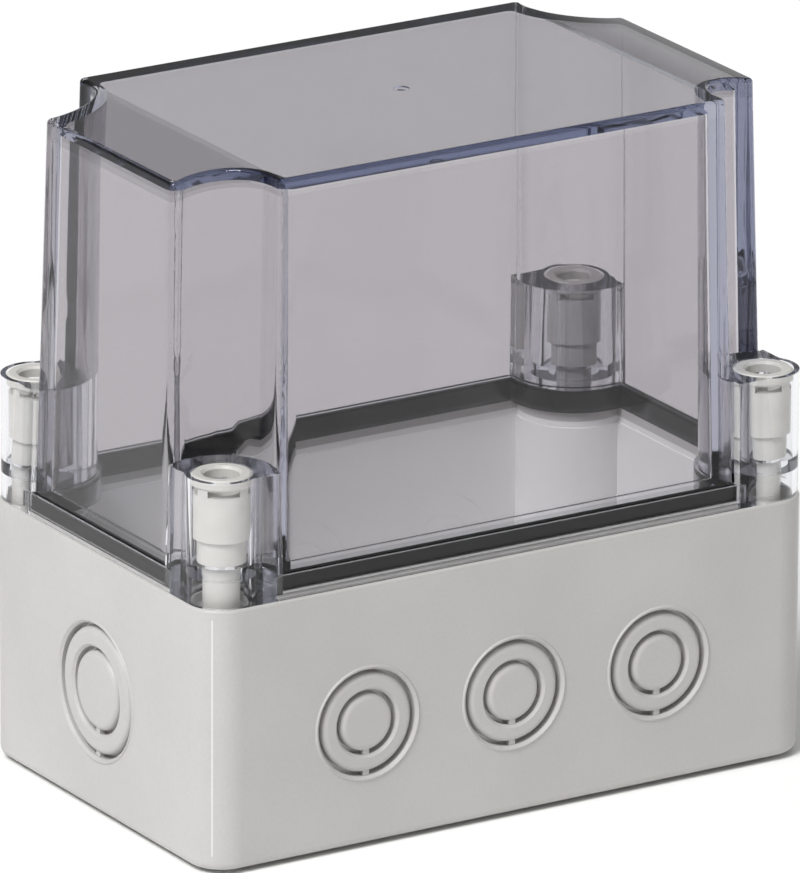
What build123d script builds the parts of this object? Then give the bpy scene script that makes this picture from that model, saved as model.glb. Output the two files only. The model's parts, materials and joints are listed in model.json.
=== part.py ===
"""Electrical enclosure with a tall clear cover, quarter-turn cover screws and round knock-outs.

The box stands on the XY plane with its long side along X.  The origin is the centre of its
underside, so the front wall faces -Y and the left end wall faces -X.
"""

import os

from build123d import *

os.makedirs("parts", exist_ok=True)

# Base, the lower half of the box
length = 130.0
width = 80.0
base_height = 50.0
foot_height = 0.8
corner_radius = 7.0
base_wall = 3.6
base_floor = 3.0
bottom_round = 1.6
rim_round = 0.5
rim_band_height = 3.0
rim_band_recess = 0.3

# Corner wells for the cover screws and the wall fixings
screw_inset = 7.0
well_radius = 5.7
post_radius = 11.0
lock_depth = 14.0
lock_thickness = 3.0
well_floor = 4.0
fixing_hole_radius = 2.2
foot_radius = 3.8

# Clear cover
cover_end_inset = 1.1
cover_side_inset = 2.2
cover_height = 78.2
cover_draft = 1.34
cover_wall = 2.6
cover_top_wall = 2.8
notch_radius_low = 9.6
notch_radius_high = 10.7
ramp_length = 16.9
end_drop = 2.4
mid_drop = 0.95
upright_round = 1.2
inner_round = 1.5
top_round = 0.8
flange_thickness = 1.2
flange_inset = 0.3
gate_radius = 1.5
gate_depth = 0.3

# Screw bosses of the cover
boss_radius = 7.0
boss_height = 24.0
seat_height = 7.5
seat_thickness = 2.5
boss_rib = 1.6
boss_rib_angle = 225.0

# Gasket and the groove that holds it
gasket_width = 2.6
gasket_height = 3.5
gasket_lift = 0.6
groove_skin = 0.6
groove_lip = 0.9
groove_lip_rise = 1.4
tongue_width = 0.9
tongue_inset = 0.2

# Cover screw
head_height = 1.6
body_waist = 0.4
neck_height = 4.6
neck_radius = 4.5
shaft_radius = 3.45
drive_radius = 3.3
drive_depth = 8.0
drive_slot_width = 1.3
window_width = 5.6
window_height = 1.3
window_drop = 2.7
window_angle = 64.0
bayonet_radius = 5.2
bayonet_width = 4.4
bayonet_height = 3.0
lock_angle = 45.0

# Knock-outs, named by the clearance hole that each one opens
side_large_hole = 20.5
side_small_hole = 12.5
end_large_hole = 25.5
end_small_hole = 16.5
side_pitch = 31.3
knockout_height = 23.4
groove_width = 0.75
web_thickness = 0.9
tab_width = 1.3
tab_recess = 0.5
blank_round = 1.2
edge_bevel = 0.5
bead_width = 0.9
bead_height = 0.25
bead_bevel = 0.5

# Equipment pillars on the floor of the base
pillar_inset = 20.0
pillar_radius = 4.0
pillar_height = 8.0
pilot_radius = 1.6
pilot_depth = 7.0

# Clearances
seat_gap = 0.1
running_gap = 0.1
lock_gap = 0.3
web_gap = 0.03

# Spacings worked out from the sizes above
screw_spacing_x = length - 2 * screw_inset
screw_spacing_y = width - 2 * screw_inset
cover_length = length - 2 * cover_end_inset
cover_width = width - 2 * cover_side_inset
crease_x = cover_length / 2 - ramp_length
pillar_spacing_x = length - 2 * pillar_inset
pillar_spacing_y = width - 2 * pillar_inset

# Levels worked out from the sizes above
rim_z = foot_height + base_height
cover_z = rim_z + seat_gap
top_z = rim_z + cover_height
floor_z = foot_height + base_floor
lock_top_z = rim_z - lock_depth
lock_low_z = lock_top_z - lock_thickness
well_floor_z = foot_height + well_floor
gasket_low_z = rim_z + gasket_lift + seat_gap
gasket_top_z = gasket_low_z + gasket_height
seat_z = rim_z + seat_height
boss_top_z = rim_z + boss_height
overshoot = 5.0

corners = [
    (-screw_spacing_x / 2, -screw_spacing_y / 2),
    (screw_spacing_x / 2, -screw_spacing_y / 2),
    (screw_spacing_x / 2, screw_spacing_y / 2),
    (-screw_spacing_x / 2, screw_spacing_y / 2),
]
corner_names = ["front_left", "front_right", "back_right", "back_left"]


def notched_rectangle(half_length, half_width, notch_radius, mode=Mode.ADD):
    """Rectangle whose four corners are scooped out round the screw axes."""
    with BuildSketch(mode=Mode.PRIVATE) as outline:
        Rectangle(2 * half_length, 2 * half_width)
        with Locations(*corners):
            Circle(notch_radius, mode=Mode.SUBTRACT)
    add(outline.sketch, mode=mode)


def seal_band(outer_inset, inner_inset):
    """Ring along the seal line, measured inwards from the foot of the cover's wall."""
    notched_rectangle(
        cover_length / 2 - outer_inset,
        cover_width / 2 - outer_inset,
        notch_radius_low + outer_inset,
    )
    notched_rectangle(
        cover_length / 2 - inner_inset,
        cover_width / 2 - inner_inset,
        notch_radius_low + inner_inset,
        mode=Mode.SUBTRACT,
    )


def cover_block(inset, top, upright_fillet, top_fillet):
    """Tapered block with four concave corners and a top that falls away at both ends."""
    rise = top_z - cover_z
    with BuildPart() as block:
        with BuildSketch(Plane.XY.offset(cover_z)):
            Rectangle(cover_length - 2 * inset, cover_width - 2 * inset)
        extrude(amount=rise, taper=cover_draft)
        with Locations(*[(x, y, cover_z) for x, y in corners]):
            Cone(
                notch_radius_low + inset,
                notch_radius_high + inset,
                rise,
                align=(Align.CENTER, Align.CENTER, Align.MIN),
                mode=Mode.SUBTRACT,
            )
        uprights = block.edges().filter_by(lambda edge: edge.bounding_box().size.Z > rise / 2)
        fillet(uprights, radius=upright_fillet)
        with BuildSketch(Plane.XZ) as end_fall:
            with BuildLine():
                ramp = ThreePointArc(
                    (crease_x, top),
                    ((crease_x + cover_length / 2) / 2, top - mid_drop),
                    (cover_length / 2, top - end_drop),
                )
                Polyline(
                    ramp @ 1,
                    (cover_length / 2 + overshoot, top - end_drop),
                    (cover_length / 2 + overshoot, top_z + overshoot),
                    (0, top_z + overshoot),
                    (0, top),
                    ramp @ 0,
                )
            make_face()
            mirror(about=Plane.YZ)
        extrude(amount=width, both=True, mode=Mode.SUBTRACT)
        if top_fillet > 0:
            top_edges = block.edges().filter_by_position(Axis.Z, top - end_drop - top_fillet, top)
            creases = top_edges.filter_by(Axis.Y).filter_by(
                lambda edge: abs(abs(edge.center().X) - crease_x) < top_fillet
            )
            fillet(top_edges - creases, radius=top_fillet)
    return block.part


def build_base(faces):
    with BuildPart() as base:
        with BuildSketch(Plane.XY.offset(foot_height)):
            RectangleRounded(length, width, corner_radius)
        extrude(amount=base_height)
        fillet(base.faces().sort_by(Axis.Z)[0].edges(), radius=bottom_round)
        fillet(base.faces().sort_by(Axis.Z)[-1].edges(), radius=rim_round)

        # Cavity with the corner posts left standing, and the thinner band under the rim
        with BuildSketch(Plane.XY.offset(floor_z)):
            notched_rectangle(length / 2 - base_wall, width / 2 - base_wall, post_radius)
        extrude(amount=base_height, mode=Mode.SUBTRACT)
        with BuildSketch(Plane.XY.offset(rim_z)):
            notched_rectangle(
                length / 2 - base_wall + rim_band_recess,
                width / 2 - base_wall + rim_band_recess,
                post_radius - rim_band_recess,
            )
        extrude(amount=-rim_band_height, mode=Mode.SUBTRACT)

        # Tongue that presses on the gasket
        with BuildSketch(Plane.XY.offset(rim_z)):
            seal_band(tongue_inset, tongue_inset + tongue_width)
        extrude(amount=gasket_lift)

        # Corner feet, wells, bayonet plates and wall fixing holes
        with BuildSketch(Plane.XY.offset(foot_height)):
            with Locations(*corners):
                Circle(foot_radius)
        extrude(amount=-foot_height)
        with BuildSketch(Plane.XY.offset(rim_z)):
            with Locations(*corners):
                Circle(well_radius)
        extrude(amount=-lock_depth, mode=Mode.SUBTRACT)
        with BuildSketch(Plane.XY.offset(lock_low_z)):
            with Locations(*corners):
                Circle(well_radius)
        extrude(amount=well_floor_z - lock_low_z, mode=Mode.SUBTRACT)
        with BuildSketch(Plane.XY.offset(lock_low_z)):
            with Locations(*corners):
                Circle(bayonet_radius + lock_gap)
                Rectangle(
                    2 * (bayonet_radius + lock_gap),
                    bayonet_width + 2 * lock_gap,
                    rotation=lock_angle,
                    mode=Mode.INTERSECT,
                )
        extrude(amount=lock_thickness, mode=Mode.SUBTRACT)
        with BuildSketch(Plane.XY.offset(lock_low_z)):
            with Locations(*corners):
                Circle(shaft_radius + lock_gap)
        extrude(amount=lock_thickness, mode=Mode.SUBTRACT)
        with BuildSketch(Plane.XY):
            with Locations(*corners):
                Circle(fixing_hole_radius)
        extrude(amount=well_floor_z, mode=Mode.SUBTRACT)

        # Pillars for a mounting plate or a rail
        with BuildSketch(Plane.XY.offset(floor_z)):
            with GridLocations(pillar_spacing_x, pillar_spacing_y / 2, 2, 3):
                Circle(pillar_radius)
        extrude(amount=pillar_height)
        with BuildSketch(Plane.XY.offset(floor_z + pillar_height)):
            with GridLocations(pillar_spacing_x, pillar_spacing_y / 2, 2, 3):
                Circle(pilot_radius)
        extrude(amount=-pilot_depth, mode=Mode.SUBTRACT)

        # Holes for the knock-outs, each framed by a raised bead with sloping sides
        for face, large_hole, small_hole in faces.values():
            with Locations(face.location):
                Cone(
                    large_hole / 2 + bead_width,
                    large_hole / 2 + bead_width - bead_height,
                    bead_height,
                    align=(Align.CENTER, Align.CENTER, Align.MIN),
                )
            with BuildSketch(face.offset(bead_height)):
                Circle(large_hole / 2)
            extrude(amount=-base_wall - bead_height, mode=Mode.SUBTRACT)
            with Locations(face.offset(bead_height).location):
                Cone(
                    large_hole / 2,
                    large_hole / 2 + bead_bevel,
                    bead_bevel,
                    align=(Align.CENTER, Align.CENTER, Align.MAX),
                    mode=Mode.SUBTRACT,
                )
    return base.part


def build_cover():
    inner = cover_block(cover_wall, top_z - cover_top_wall, inner_round, 0)
    with BuildPart() as cover:
        add(cover_block(0, top_z, upright_round, top_round))

        # Flange on the rim, skirt round the gasket, and the screw bosses
        with BuildSketch(Plane.XY.offset(cover_z)):
            RectangleRounded(
                length - 2 * flange_inset,
                width - 2 * flange_inset,
                corner_radius - flange_inset,
            )
        extrude(amount=flange_thickness)
        with BuildSketch(Plane.XY.offset(cover_z)):
            notched_rectangle(
                cover_length / 2 + groove_skin,
                cover_width / 2 + groove_skin,
                notch_radius_low - groove_skin,
            )
        extrude(amount=gasket_top_z - cover_z)
        with BuildSketch(Plane.XY.offset(cover_z)):
            with Locations(*corners):
                Circle(boss_radius - flange_inset)
        extrude(amount=boss_top_z - cover_z)
        with BuildSketch(Plane.XY.offset(cover_z)):
            with Locations(Location((*corners[2], 0), (0, 0, boss_rib_angle))):
                Rectangle(notch_radius_high, boss_rib, align=(Align.MIN, Align.CENTER))
            mirror(about=Plane.XZ)
            mirror(about=Plane.YZ)
        extrude(amount=boss_top_z - cover_z)

        # Inside of the cover, then the lip that closes the gasket groove
        add(inner, mode=Mode.SUBTRACT)
        with BuildSketch(Plane.XY.offset(gasket_low_z)):
            seal_band(gasket_width / 2, gasket_width + groove_lip)
        extrude(amount=gasket_height + groove_lip_rise)
        with BuildSketch(Plane.XY.offset(gasket_low_z)):
            seal_band(0, gasket_width)
        extrude(amount=gasket_height, mode=Mode.SUBTRACT)
        with BuildSketch(Plane.XY.offset(cover_z)):
            notched_rectangle(cover_length / 2, cover_width / 2, notch_radius_low)
        extrude(amount=gasket_lift, mode=Mode.SUBTRACT)

        # Bores of the bosses, above and below the seat of the screw
        with BuildSketch(Plane.XY.offset(seat_z)):
            with Locations(*corners):
                Circle(well_radius)
        extrude(amount=boss_height, mode=Mode.SUBTRACT)
        with BuildSketch(Plane.XY.offset(cover_z)):
            with Locations(*corners):
                Circle(well_radius)
        extrude(amount=seat_z - seat_thickness - cover_z, mode=Mode.SUBTRACT)
        with BuildSketch(Plane.XY.offset(cover_z)):
            with Locations(*corners):
                Circle(shaft_radius + running_gap)
        extrude(amount=seat_height, mode=Mode.SUBTRACT)

        # Moulding gate in the middle of the top
        with BuildSketch(Plane.XY.offset(top_z)):
            Circle(gate_radius)
            Circle(gate_radius / 2, mode=Mode.SUBTRACT)
        extrude(amount=-gate_depth, mode=Mode.SUBTRACT)
    return cover.part


def build_gasket():
    with BuildPart() as gasket:
        with BuildSketch(Plane.XY.offset(gasket_low_z)):
            seal_band(web_gap, gasket_width - web_gap)
        extrude(amount=gasket_height)
    return gasket.part


def build_screw(x, y):
    head_radius = well_radius - running_gap
    body_radius = head_radius - body_waist
    head_top_z = boss_top_z + seat_gap
    foot_top_z = lock_low_z - lock_gap
    neck_low_z = seat_z + seat_gap
    with BuildPart() as screw:
        with BuildSketch(Plane((x, y, 0), x_dir=(1, 0, 0), z_dir=(0, -1, 0))):
            with BuildLine():
                Polyline(
                    (0, foot_top_z - bayonet_height),
                    (shaft_radius, foot_top_z - bayonet_height),
                    (shaft_radius, neck_low_z),
                    (neck_radius, neck_low_z),
                    (neck_radius, neck_low_z + neck_height - body_waist),
                    (body_radius, neck_low_z + neck_height),
                    (body_radius, head_top_z - head_height - body_waist),
                    (head_radius, head_top_z - head_height),
                    (head_radius, head_top_z - edge_bevel),
                    (head_radius - edge_bevel, head_top_z),
                    (drive_radius + edge_bevel, head_top_z),
                    (drive_radius, head_top_z - edge_bevel),
                    (drive_radius, head_top_z - drive_depth),
                    (0, head_top_z - drive_depth),
                    close=True,
                )
            make_face()
        revolve(axis=Axis((x, y, 0), (0, 0, 1)))
        with Locations(Location((x, y, head_top_z - window_drop), (0, 0, window_angle))):
            Box(2 * well_radius, window_width, window_height, mode=Mode.SUBTRACT)
            Box(window_width, 2 * well_radius, window_height, mode=Mode.SUBTRACT)
            with Locations((0, 0, window_drop - drive_depth)):
                Box(
                    2 * drive_radius - edge_bevel,
                    drive_slot_width,
                    2 * drive_slot_width,
                    mode=Mode.SUBTRACT,
                )
        with BuildSketch(Plane((x, y, foot_top_z))):
            Circle(bayonet_radius)
            Rectangle(
                2 * bayonet_radius,
                bayonet_width,
                rotation=lock_angle,
                mode=Mode.INTERSECT,
            )
        extrude(amount=-bayonet_height)
    return screw.part


def build_blank(face, hole, inner_hole):
    """Blank that fills one hole: a groove runs round it, crossed by one tab at the bottom."""
    with BuildPart() as blank:
        with BuildSketch(face.offset(-base_wall)):
            Circle(hole / 2 - groove_width)
        extrude(amount=base_wall)
        outer_face = blank.faces().sort_by(Axis(face.origin, face.z_dir))[-1]
        fillet(outer_face.edges(), radius=blank_round)
        with BuildSketch(face.offset(-base_wall)):
            Circle(hole / 2 - web_gap)
        extrude(amount=web_thickness)
        with BuildSketch(face.offset(-base_wall)):
            Circle(hole / 2 - web_gap)
            Rectangle(tab_width, hole / 2, align=(Align.CENTER, Align.MAX), mode=Mode.INTERSECT)
        extrude(amount=base_wall - tab_recess)
        if inner_hole > 0:
            with BuildSketch(face):
                Circle(inner_hole / 2)
            extrude(amount=-base_wall, mode=Mode.SUBTRACT)
            outer_face = blank.faces().sort_by(Axis(face.origin, face.z_dir))[-1]
            rim = outer_face.edges().filter_by(GeomType.CIRCLE).sort_by(SortBy.RADIUS)[0]
            chamfer(rim, length=edge_bevel)
    return blank.part


def wall_plane(x, y, normal):
    """Plane on an outer wall at knock-out height, its X to the right as seen from outside."""
    right = Vector(0, 0, 1).cross(Vector(*normal))
    return Plane((x, y, foot_height + knockout_height), x_dir=right, z_dir=normal)


knockouts = {}
for name, shift in (("left", -side_pitch), ("centre", 0), ("right", side_pitch)):
    front = wall_plane(shift, -width / 2, (0, -1, 0))
    back = wall_plane(shift, width / 2, (0, 1, 0))
    knockouts["front_" + name] = (front, side_large_hole, side_small_hole)
    knockouts["back_" + name] = (back, side_large_hole, side_small_hole)
knockouts["left_end"] = (wall_plane(-length / 2, 0, (-1, 0, 0)), end_large_hole, end_small_hole)
knockouts["right_end"] = (wall_plane(length / 2, 0, (1, 0, 0)), end_large_hole, end_small_hole)

pieces = {"base": build_base(knockouts), "clear_cover": build_cover(), "cover_gasket": build_gasket()}
for name, (x, y) in zip(corner_names, corners):
    pieces["cover_screw_" + name] = build_screw(x, y)
for name, (face, large_hole, small_hole) in knockouts.items():
    pieces["knockout_ring_" + name] = build_blank(face, large_hole, small_hole)
    pieces["knockout_disc_" + name] = build_blank(face, small_hole, 0)

for name, part in pieces.items():
    part.label = name
    export_step(part, f"parts/{name}.step")
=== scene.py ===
import json
import math
import bmesh
import bpy
from mathutils import Matrix, Vector


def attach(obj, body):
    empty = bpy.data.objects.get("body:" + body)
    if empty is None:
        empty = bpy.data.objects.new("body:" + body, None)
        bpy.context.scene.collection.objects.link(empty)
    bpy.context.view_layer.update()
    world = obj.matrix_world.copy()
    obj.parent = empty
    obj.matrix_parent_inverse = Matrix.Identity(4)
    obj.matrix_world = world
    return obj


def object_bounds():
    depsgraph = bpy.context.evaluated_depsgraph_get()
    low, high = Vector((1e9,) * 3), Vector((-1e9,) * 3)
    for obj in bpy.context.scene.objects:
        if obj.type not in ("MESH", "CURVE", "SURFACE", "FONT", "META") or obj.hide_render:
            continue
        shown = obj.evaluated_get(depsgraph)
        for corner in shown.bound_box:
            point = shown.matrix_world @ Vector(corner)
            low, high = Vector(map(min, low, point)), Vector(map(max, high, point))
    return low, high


# Electrical enclosure: light grey base with round knock-outs, tall clear cover and
# quarter-turn screws.
# Everything is in metres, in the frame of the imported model: the front wall faces -Y.

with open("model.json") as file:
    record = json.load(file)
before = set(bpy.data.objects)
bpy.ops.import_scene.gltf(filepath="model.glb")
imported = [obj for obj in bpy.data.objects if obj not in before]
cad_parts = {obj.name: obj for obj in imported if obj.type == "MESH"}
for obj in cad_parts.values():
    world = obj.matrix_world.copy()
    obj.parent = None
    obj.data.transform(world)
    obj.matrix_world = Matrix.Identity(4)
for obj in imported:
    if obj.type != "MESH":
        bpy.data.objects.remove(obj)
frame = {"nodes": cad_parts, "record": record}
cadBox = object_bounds()
nodes = frame["nodes"]


# shader maths

class Wire:
    # an output socket of a shader tree; sums on it add Math nodes

    def __init__(self, tree, socket=None):
        self.tree = tree
        self.socket = socket

    def make(self, kind, settings=None, inputs=None, output=0):
        node = self.tree.nodes.new("ShaderNode" + kind)
        for name, value in (settings or {}).items():
            if name == "stops":
                elements = node.color_ramp.elements
                while len(elements) < len(value):
                    elements.new(0.5)
                for element, (position, shade) in zip(elements, value):
                    element.position = position
                    element.color = (shade, shade, shade, 1)
            else:
                setattr(node, name, value)
        for key, value in (inputs or {}).items():
            if isinstance(value, Wire):
                self.tree.links.new(value.socket, node.inputs[key])
            else:
                node.inputs[key].default_value = value
        return Wire(self.tree, node.outputs[output] if node.outputs else None)

    def math(self, operation, *values):
        return self.make("Math", {"operation": operation}, dict(enumerate(values)))

    def __add__(self, other):
        return self.math("ADD", self, other)

    def __sub__(self, other):
        return self.math("SUBTRACT", self, other)

    def __rsub__(self, other):
        return self.math("SUBTRACT", other, self)

    def __mul__(self, other):
        return self.math("MULTIPLY", self, other)

    def __truediv__(self, other):
        return self.math("DIVIDE", self, other)

    def __lt__(self, other):
        return self.math("LESS_THAN", self, other)

    def __gt__(self, other):
        return self.math("GREATER_THAN", self, other)

    def size(self):
        return self.math("ABSOLUTE", self)

    def larger(self, other):
        return self.math("MAXIMUM", self, other)

    def root(self):
        return self.math("SQRT", self)


def rgba(colour):
    return (*colour, 1.0)


def startMaterial(name):
    material = bpy.data.materials.new(name)
    material.use_nodes = True
    material.node_tree.nodes.clear()
    return material, Wire(material.node_tree)


def place(tree):
    return tree.make("TexCoord", output="Object")


def axes(tree):
    # the place along X, Y and Z, in metres
    where = place(tree)
    return [tree.make("SeparateXYZ", inputs={0: where}, output=i) for i in range(3)]


def noise(tree, scale, detail=2.0, roughness=0.5):
    inputs = {"Vector": place(tree), "Scale": scale, "Detail": detail, "Roughness": roughness}
    return tree.make("TexNoise", inputs=inputs)


def ramp(tree, value, stops):
    return tree.make("ValToRGB", {"stops": stops}, {"Fac": value})


def mixColour(tree, factor, low, high):
    first = low if isinstance(low, Wire) else rgba(low)
    second = high if isinstance(high, Wire) else rgba(high)
    return tree.make("Mix", {"data_type": "RGBA"}, {0: factor, 6: first, 7: second}, output=2)


def bump(tree, height, strength, distance):
    return tree.make("Bump", inputs={
        "Height": height, "Strength": strength, "Distance": distance})


def finish(tree, shader, volume=None):
    inputs = {"Surface": shader}
    if volume is not None:
        inputs["Volume"] = volume
    tree.make("OutputMaterial", inputs=inputs)


# base and knock-outs: satin moulded plastic, spark-eroded outside and polished inside; the inside
# also carries painted light, a far lighter colour than the outside

moulded = {
    "colour": (0.505, 0.496, 0.484),
    "colourShade": (0.470, 0.461, 0.450),
    # painted light: the inside is coloured much lighter than the outside, to stand in for light
    # reaching it
    "insidePaintedLight": (0.83, 0.825, 0.815),
    "mottleScale": 38.0,
    "speckScale": 1500.0,
    "speckShare": 0.3,  # the rest of the tone is the mottle's
    "toneStops": [(0.38, 0.0), (0.62, 1.0)],
    "grainScale": 2600.0,
    "grainStrength": 0.5,
    "grainDepth": 0.00002,
    "insideGrain": 0.15,  # how much of the grain is left on the polished inside
    "waveScale": 22.0,
    "waveStrength": 0.25,
    "waveDepth": 0.0004,
    "outsideRoughness": 0.42,
    "insideRoughness": 0.16,
    "roughnessSpread": 0.10,
    "ior": 1.50,
    "halfLength": 0.0630,  # these four bound the inside
    "halfWidth": 0.0380,
    "floorHeight": 0.0037,
    "rimHeight": 0.0490,
}


def mouldedGrey(name, look):
    material, tree = startMaterial(name)
    x, y, z = axes(tree)
    inside = (x.size() < look["halfLength"]) * (y.size() < look["halfWidth"])
    inside = inside * (z < look["rimHeight"]) * (z > look["floorHeight"])
    mottle = noise(tree, look["mottleScale"], detail=4.0)
    speck = noise(tree, look["speckScale"], detail=1.0)
    share = look["speckShare"]
    tone = ramp(tree, mottle * (1 - share) + speck * share, look["toneStops"])
    skin = mixColour(tree, tone, look["colour"], look["colourShade"])
    # painted light: the polished inside takes the much lighter inside colour
    colour = mixColour(tree, inside, skin, look["insidePaintedLight"])
    grain = noise(tree, look["grainScale"], detail=3.0, roughness=0.6)
    sink = noise(tree, look["waveScale"], detail=1.0)
    outside = 1 - inside
    rest = look["insideGrain"]
    grain = grain * (outside * (1 - rest) + rest)
    fine = bump(tree, grain, look["grainStrength"], look["grainDepth"])
    broad = tree.make("Bump", inputs={
        "Height": sink, "Strength": look["waveStrength"], "Distance": look["waveDepth"],
        "Normal": fine})
    spread = (mottle - 0.5) * look["roughnessSpread"]
    satin = look["insideRoughness"] - look["outsideRoughness"]
    roughness = inside * satin + look["outsideRoughness"] + spread
    shader = tree.make("BsdfPrincipled", inputs={
        "Base Color": colour, "Roughness": roughness, "Normal": broad, "IOR": look["ior"]})
    finish(tree, shader)
    return material


# clear cover: smoke-tinted polycarbonate, polished, with its colour gathering at the edges; its
# tint also carries painted light and shade: a lighter flat top, darker sloping ends, a darker
# skirt and nearly clear screw blocks and flange

clear = {
    "tint": (0.70, 0.678, 0.686),
    # painted light and shade: the flat top is tinted lighter, the sloping ends darker, than the
    # walls
    "topPaintedLight": (0.80, 0.79, 0.79),
    "rampPaintedShade": (0.48, 0.468, 0.478),
    # painted light: the screw blocks and the flange are tinted almost clear, so what lies inside
    # shows lighter
    "blockPaintedLight": (0.985, 0.985, 0.99),
    # painted shade: the skirt round the gasket is tinted much darker than the walls
    "skirtPaintedShade": (0.45, 0.45, 0.46),
    "lampTint": (0.995, 0.995, 0.995),
    "edgeColour": (0.47, 0.51, 0.66),
    "edgeDensity": 42.0,
    "blockX": 0.0490,  # the screw blocks stand beyond these two
    "blockY": 0.0240,
    "blockTop": 0.0752,
    "skirtLow": 0.0522,  # the skirt stands round the gasket
    "skirtTop": 0.0556,
    "topLow": 0.1258,  # underside of the flat top
    "crease": 0.0470,
    "endFall": 0.16,  # how fast the top falls from the crease outwards
    "roughness": 0.018,
    "smearScale": 30.0,
    "smearSpread": 0.03,
    "smearStops": [(0.50, 0.0), (0.75, 1.0)],
    "flowScale": 26.0,
    "flowStrength": 0.3,
    "flowDepth": 0.00022,
    "ior": 1.36,
}


def unbentLight(tree, surface, tint):
    # light reaches what stands inside or behind without being bent
    letThrough = tree.make("BsdfTransparent", inputs={"Color": rgba(tint)})
    for kind in ("Is Shadow Ray", "Is Diffuse Ray"):
        ray = tree.make("LightPath", output=kind)
        surface = tree.make("MixShader", inputs={0: ray, 1: surface, 2: letThrough})
    return surface


def clearPolycarbonate(name, look):
    material, tree = startMaterial(name)
    smear = noise(tree, look["smearScale"], detail=5.0, roughness=0.65)
    flow = noise(tree, look["flowScale"], detail=1.0)
    haze = ramp(tree, smear, look["smearStops"])
    x, y, z = axes(tree)
    block = (x.size() > look["blockX"]) * (y.size() > look["blockY"]) * (z < look["blockTop"])
    beyond = (x.size() - look["crease"]).larger(0.0)
    underside = look["topLow"] - beyond * look["endFall"]
    # painted light on the flat top, painted shade on the sloping ends beyond the crease
    top = mixColour(tree, beyond > 0.0, look["topPaintedLight"], look["rampPaintedShade"])
    panel = mixColour(tree, z > underside, look["tint"], top)
    # painted shade: this marks where the darker skirt tint goes
    skirt = (z > look["skirtLow"]) * (1 - block)
    # painted light: the screw blocks and the flange below the skirt take the nearly clear tint
    foot = mixColour(tree, skirt, look["blockPaintedLight"], look["skirtPaintedShade"])
    shader = tree.make("BsdfPrincipled", inputs={
        "Base Color": mixColour(tree, block.larger(z < look["skirtTop"]), panel, foot),
        "Roughness": haze * look["smearSpread"] + look["roughness"],
        "Transmission Weight": 1.0,
        "IOR": look["ior"],
        "Normal": bump(tree, flow, look["flowStrength"], look["flowDepth"])})
    volume = tree.make("VolumeAbsorption", inputs={
        "Color": rgba(look["edgeColour"]), "Density": look["edgeDensity"]})
    finish(tree, unbentLight(tree, shader, look["lampTint"]), volume)
    return material


# corner webs: the same plastic, tinted almost colourless as painted light, so the screws behind
# show lighter

clearWeb = {
    # painted light: tinted far clearer than the cover's walls
    "tint": (0.94, 0.94, 0.955),
    "lampTint": (1.0, 1.0, 1.0),
    "roughness": 0.018,
    "smearScale": 60.0,
    "smearSpread": 0.03,
    "smearLevel": 0.55,  # the smears are where the noise lies above this
    "ior": 1.36,
}


def lightenedPolycarbonate(name, look):
    material, tree = startMaterial(name)
    smear = noise(tree, look["smearScale"], detail=4.0)
    shader = tree.make("BsdfPrincipled", inputs={
        "Base Color": rgba(look["tint"]), "Transmission Weight": 1.0, "IOR": look["ior"],
        "Roughness": (smear > look["smearLevel"]) * look["smearSpread"] + look["roughness"]})
    finish(tree, unbentLight(tree, shader, look["lampTint"]))
    return material


# gasket: black foamed rubber with fine pores

foam = {
    "colour": (0.009, 0.0085, 0.0085),
    "poreColour": (0.016, 0.0155, 0.015),
    "poreScale": 2400.0,
    "poreStrength": 0.12,
    "poreDepth": 0.00003,
    "skinScale": 260.0,
    "skinShare": 0.4,  # of the tone, the rest is the pores'
    "skinHeight": 0.5,  # beside the pores' own height
    "toneStops": [(0.25, 0.0), (0.65, 1.0)],
    "roughness": 0.78,
    "roughnessSpread": 0.2,
    "specularLevel": 0.2,
}


def foamedRubber(name, look):
    material, tree = startMaterial(name)
    pores = tree.make("TexVoronoi", inputs={"Vector": place(tree), "Scale": look["poreScale"]})
    skin = noise(tree, look["skinScale"], detail=4.0)
    share = look["skinShare"]
    tone = ramp(tree, pores * (1 - share) + skin * share, look["toneStops"])
    colour = mixColour(tree, tone, look["colour"], look["poreColour"])
    spread = look["roughnessSpread"]
    roughness = skin * spread + (look["roughness"] - spread / 2)
    height = pores + skin * look["skinHeight"]
    shader = tree.make("BsdfPrincipled", inputs={
        "Base Color": colour, "Roughness": roughness, "Specular IOR Level": look["specularLevel"],
        "Normal": bump(tree, height, look["poreStrength"], look["poreDepth"])})
    finish(tree, shader)
    return material


# cover screws: warm light grey plastic, satin and a little uneven

screw = {
    "colour": (0.59, 0.579, 0.548),
    "colourShade": (0.53, 0.519, 0.49),
    "grainScale": 1900.0,
    "grainStrength": 0.4,
    "grainDepth": 0.00003,
    "mottleScale": 180.0,
    "toneStops": [(0.35, 0.0), (0.68, 1.0)],
    "roughness": 0.34,
    "roughnessSpread": 0.14,
    "ior": 1.52,
}


def screwPlastic(name, look):
    material, tree = startMaterial(name)
    mottle = noise(tree, look["mottleScale"], detail=4.0, roughness=0.6)
    grain = noise(tree, look["grainScale"], detail=2.0)
    tone = ramp(tree, mottle, look["toneStops"])
    colour = mixColour(tree, tone, look["colour"], look["colourShade"])
    roughness = (mottle - 0.5) * look["roughnessSpread"] + look["roughness"]
    shader = tree.make("BsdfPrincipled", inputs={
        "Base Color": colour, "Roughness": roughness,
        "Normal": bump(tree, grain, look["grainStrength"], look["grainDepth"]),
        "IOR": look["ior"]})
    finish(tree, shader)
    return material


finishes = {
    "base_grey": mouldedGrey("moulded grey", moulded),
    "knockout_grey": mouldedGrey("knock-out grey", moulded),
    "cover_clear": clearPolycarbonate("smoky clear polycarbonate", clear),
    "gasket_black": foamedRubber("foamed rubber", foam),
    "screw_grey": screwPlastic("screw grey", screw),
}
for row in frame["record"]["subparts"]:
    for materialSlot in nodes[row["node"]].material_slots:
        materialSlot.material = finishes[row["material_slot"]]
print("finishes: %d materials on the moulded pieces" % len(finishes))


# corner webs: clear plastic that squares each screw boss up to the flange and the cover

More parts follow.
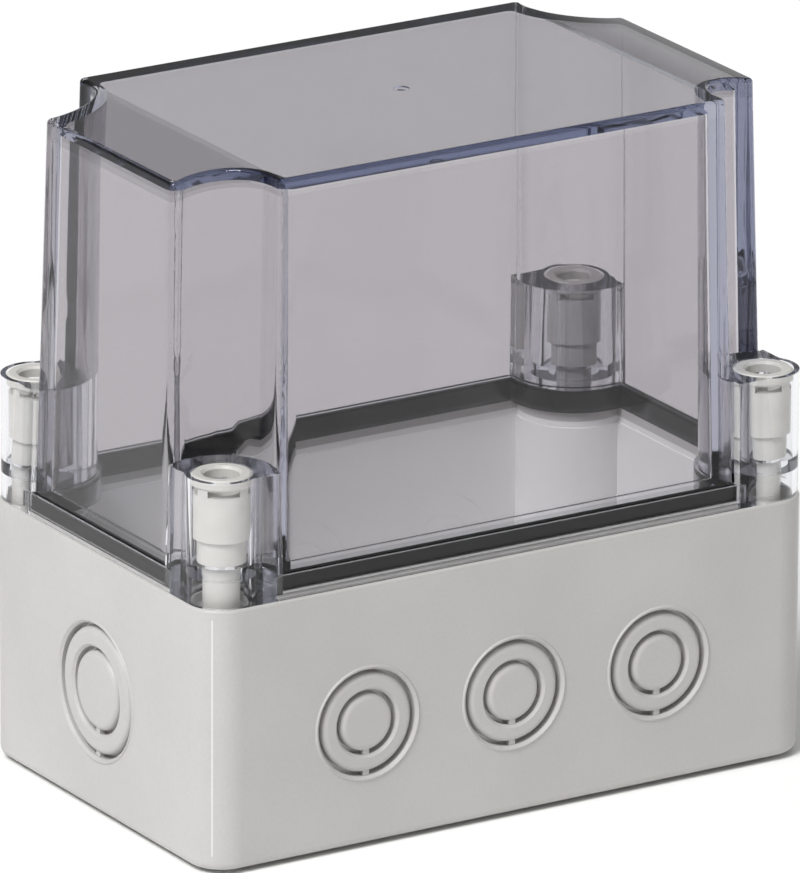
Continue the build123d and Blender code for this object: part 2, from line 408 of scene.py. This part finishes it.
web = {
    "foot": 0.0509,  # underside of the flange, from which the drafts rise
    "levels": (0.05205, 0.0549, 0.05495, 0.0650, 0.07466, 0.07478),  # heights of the outlines
    "bevel": 0.00012,  # of the upright edge and of the top
    "span": 0.0090,  # from the screw's axis towards the middle of the box
    "edge": 0.0067,  # from the axis out to the flange's edge
    "draft": 1.9,  # degrees
    "bossRadius": 0.00662,
    "leastStart": 0.0005,  # along the edge, where it runs outside the boss
    "ribHalf": 0.00072,  # half the thickness of the boss's rib
    "ribAngle": 45,  # degrees
    "scoopRadius": 0.0096,
    "scoopGrowth": 0.0141,  # of the radius, by height
    "scoopStart": 8,  # degrees past the corner where the wall meets the scoop
    "coverDraft": 1.34,
    "skirtTop": 0.0549,
    "skirt": 0.0006,  # how far the skirt stands out from the cover
    "sink": 0.00008,  # how deep a web runs into what it joins
    "cornerSink": 0.0003,
    "sinkPower": 6,  # how soon the deeper sink ends along the scoop
    "steps": 16,
    "sideWall": 0.0048,  # from the axis out to the foot of the cover's long wall
    "endWall": 0.0059,
    "sharpAngle": 28,  # degrees
}


def webSection(look, wallInset, z, topBevel):
    # half of a corner's outline at one height: along the wall and across it, from the axis
    rise = z - look["foot"]
    edge = topBevel - look["edge"] + rise * math.tan(math.radians(look["draft"]))
    if z <= look["skirtTop"]:
        wall = -wallInset - look["skirt"]
        scoop = look["scoopRadius"] - look["skirt"]
    else:
        wall = -wallInset + rise * math.tan(math.radians(look["coverDraft"]))
        scoop = look["scoopRadius"] + rise * look["scoopGrowth"]
    boss, sink, bevel = look["bossRadius"], look["sink"], look["bevel"]
    span = look["span"] - topBevel
    rib = math.radians(look["ribAngle"])
    corner = math.sqrt(scoop ** 2 - wall ** 2)
    start = math.sqrt(max(boss ** 2 - edge ** 2, look["leastStart"] ** 2))
    points = [(start, edge), (span - bevel, edge)]
    points += [(span, edge + bevel), (span, wall + sink)]
    points += [(corner + look["cornerSink"], wall + look["cornerSink"])]
    # along the scoop to the rib, then back along the boss
    first = math.atan2(wall, corner) + math.radians(look["scoopStart"])
    last = rib - math.asin(look["ribHalf"] / scoop)
    for i in range(look["steps"] + 1):
        part = i / look["steps"]
        angle = first + (last - first) * part
        radius = scoop + sink + look["cornerSink"] * (1 - part) ** look["sinkPower"]
        points.append((radius * math.cos(angle), radius * math.sin(angle)))
    first = rib - math.asin(look["ribHalf"] / boss)
    last = math.atan2(edge, start)
    for i in range(look["steps"]):
        angle = first + (last - first) * i / look["steps"]
        points.append((boss * math.cos(angle), boss * math.sin(angle)))
    return points


def cornerWeb(name, axis, look, surface):
    shape = bmesh.new()
    inX, inY = -math.copysign(1, axis[0]), -math.copysign(1, axis[1])
    for along in ("x", "y"):
        wallInset = look["sideWall"] if along == "x" else look["endWall"]
        rings = []
        for z in look["levels"]:
            topBevel = look["bevel"] if z == look["levels"][-1] else 0.0
            ring = []
            for forward, across in webSection(look, wallInset, z, topBevel):
                u, v = (forward, across) if along == "x" else (across, forward)
                ring.append(shape.verts.new((axis[0] + inX * u, axis[1] + inY * v, z)))
            rings.append(ring)
        count = len(rings[0])
        for low, high in zip(rings, rings[1:]):
            for i in range(count):
                j = (i + 1) % count
                shape.faces.new((low[i], low[j], high[j], high[i]))
        shape.faces.new(rings[0])
        shape.faces.new(rings[-1])
    bmesh.ops.recalc_face_normals(shape, faces=shape.faces)
    mesh = bpy.data.meshes.new(name)
    shape.to_mesh(mesh)
    shape.free()
    mesh.shade_smooth()
    mesh.set_sharp_from_angle(angle=math.radians(look["sharpAngle"]))
    mesh.materials.append(surface)
    piece = bpy.data.objects.new(name, mesh)
    bpy.context.scene.collection.objects.link(piece)
    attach(piece, "cover")


webFinish = lightenedPolycarbonate("clear web polycarbonate", clearWeb)
for joint in frame["record"]["behaviour"]["joints"]:
    if joint["name"].startswith("screw_turn_"):
        name = joint["name"].replace("screw_turn", "corner_web")
        cornerWeb(name, joint["pos_m"], web, webFinish)
print("corner webs done")


# stage: pale floor that runs out into a white ground

stage = {
    "halfSize": 6.0,
    "colour": (0.93, 0.93, 0.925),
    "dustScale": 60.0,
    "dustShade": 0.985,
    "roughness": 0.9,
    "shadowReach": 0.085,
    "fade": 0.16,
}


def seesGround(tree):
    # 1 for rays that see the ground directly, in a gloss or through the clear cover
    rays = [tree.make("LightPath", output=kind) for kind in (
        "Is Camera Ray", "Is Glossy Ray", "Is Transmission Ray")]
    return rays[0].larger(rays[1]).larger(rays[2])


def paleGround(name, look):
    material, tree = startMaterial(name)
    x, y = axes(tree)[:2]
    far = ((x * x + y * y).root() - look["shadowReach"]) / look["fade"]
    far = far.math("MINIMUM", far.larger(0.0), 1.0)
    dust = noise(tree, look["dustScale"], detail=3.0)
    dusty = tuple(look["dustShade"] * c for c in look["colour"])
    colour = mixColour(tree, dust, look["colour"], dusty)
    ground = tree.make("BsdfPrincipled", inputs={
        "Base Color": colour, "Roughness": look["roughness"], "Specular IOR Level": 0.0})
    white = tree.make("Emission", inputs={"Color": rgba((1.0, 1.0, 1.0)), "Strength": 1.0})
    shown = tree.make("MixShader", inputs={0: far * seesGround(tree), 1: ground, 2: white})
    finish(tree, shown)
    return material


def makeFloor(look):
    half = look["halfSize"]
    mesh = bpy.data.meshes.new("floor")
    corners = [(-half, -half, 0), (half, -half, 0), (half, half, 0), (-half, half, 0)]
    mesh.from_pydata(corners, [], [(0, 1, 2, 3)])
    mesh.materials.append(paleGround("pale ground", look))
    floor = bpy.data.objects.new("floor", mesh)
    bpy.context.scene.collection.objects.link(floor)


makeFloor(stage)


# lamps: one softbox at the front left, and light from all round

lamps = {
    # strength by height: a white cove at the horizon, dimmer above it
    "cove": [(0.0, 0.9), (0.06, 0.8), (0.20, 0.26), (0.45, 0.27), (1.0, 0.6)],
    "key": {"towards": (-0.60, -0.27, 0.75), "distance": 2.2, "size": 0.8, "watts": 45.5},
}


def makeLamp(name, look, aim):
    light = bpy.data.lights.new(name, "AREA")
    light.size = look["size"]
    light.energy = look["watts"]
    lamp = bpy.data.objects.new(name, light)
    direction = Vector(look["towards"]).normalized()
    lamp.location = aim + direction * look["distance"]
    lamp.rotation_euler = (-direction).to_track_quat("-Z", "Y").to_euler()
    bpy.context.scene.collection.objects.link(lamp)


middle = (cadBox[0] + cadBox[1]) / 2
makeLamp("key softbox", lamps["key"], middle)

world = bpy.data.worlds.new("studio")
bpy.context.scene.world = world
world.use_nodes = True
world.node_tree.nodes.clear()
sky = Wire(world.node_tree)
direction = sky.make("TexCoord", output="Generated")
height = sky.make("SeparateXYZ", inputs={0: direction}, output=2)
glow = sky.make("Background", inputs={"Color": ramp(sky, height, lamps["cove"])})
sky.make("OutputWorld", inputs={"Surface": glow})
print("stage and lamps done")


# camera, at the photograph's angle

view = {
    "azimuth": -31.71,  # degrees
    "elevation": 18.74,
    "roll": 0.28,
    "distance": 2.491,
    "aim": (0.0, 0.0, 0.0608),
    "raise": 0.00108,  # how far the picture's middle lies above the aim
    "lens": 558.4,  # mm, on the sensor along the picture's long side
    "sensor": 36.0,
    "clip": (0.05, 40.0),
}


def makeCamera(look):
    turn, tilt = math.radians(look["azimuth"]), math.radians(look["elevation"])
    level = math.cos(tilt)
    back = Vector((math.sin(turn) * level, -math.cos(turn) * level, math.sin(tilt)))
    right = Vector((math.cos(turn), math.sin(turn), 0.0))
    up = back.cross(right)
    data = bpy.data.cameras.new("camera")
    data.lens = look["lens"]
    data.sensor_width = look["sensor"]
    data.clip_start, data.clip_end = look["clip"]
    camera = bpy.data.objects.new("camera", data)
    bpy.context.scene.collection.objects.link(camera)
    roll = Matrix.Rotation(math.radians(look["roll"]), 3, "Z")
    camera.rotation_mode = "QUATERNION"
    turned = Matrix((right, up, back)).transposed() @ roll
    camera.rotation_quaternion = turned.to_quaternion()
    camera.location = Vector(look["aim"]) + up * look["raise"] + back * look["distance"]
    bpy.context.scene.camera = camera


makeCamera(view)
bpy.context.scene.view_settings.view_transform = "Standard"
bounces = 28  # light runs far inside clear walls
for kind in ("max", "glossy", "transmission", "transparent_max"):
    setattr(bpy.context.scene.cycles, kind + "_bounces", bounces)
print("camera done")
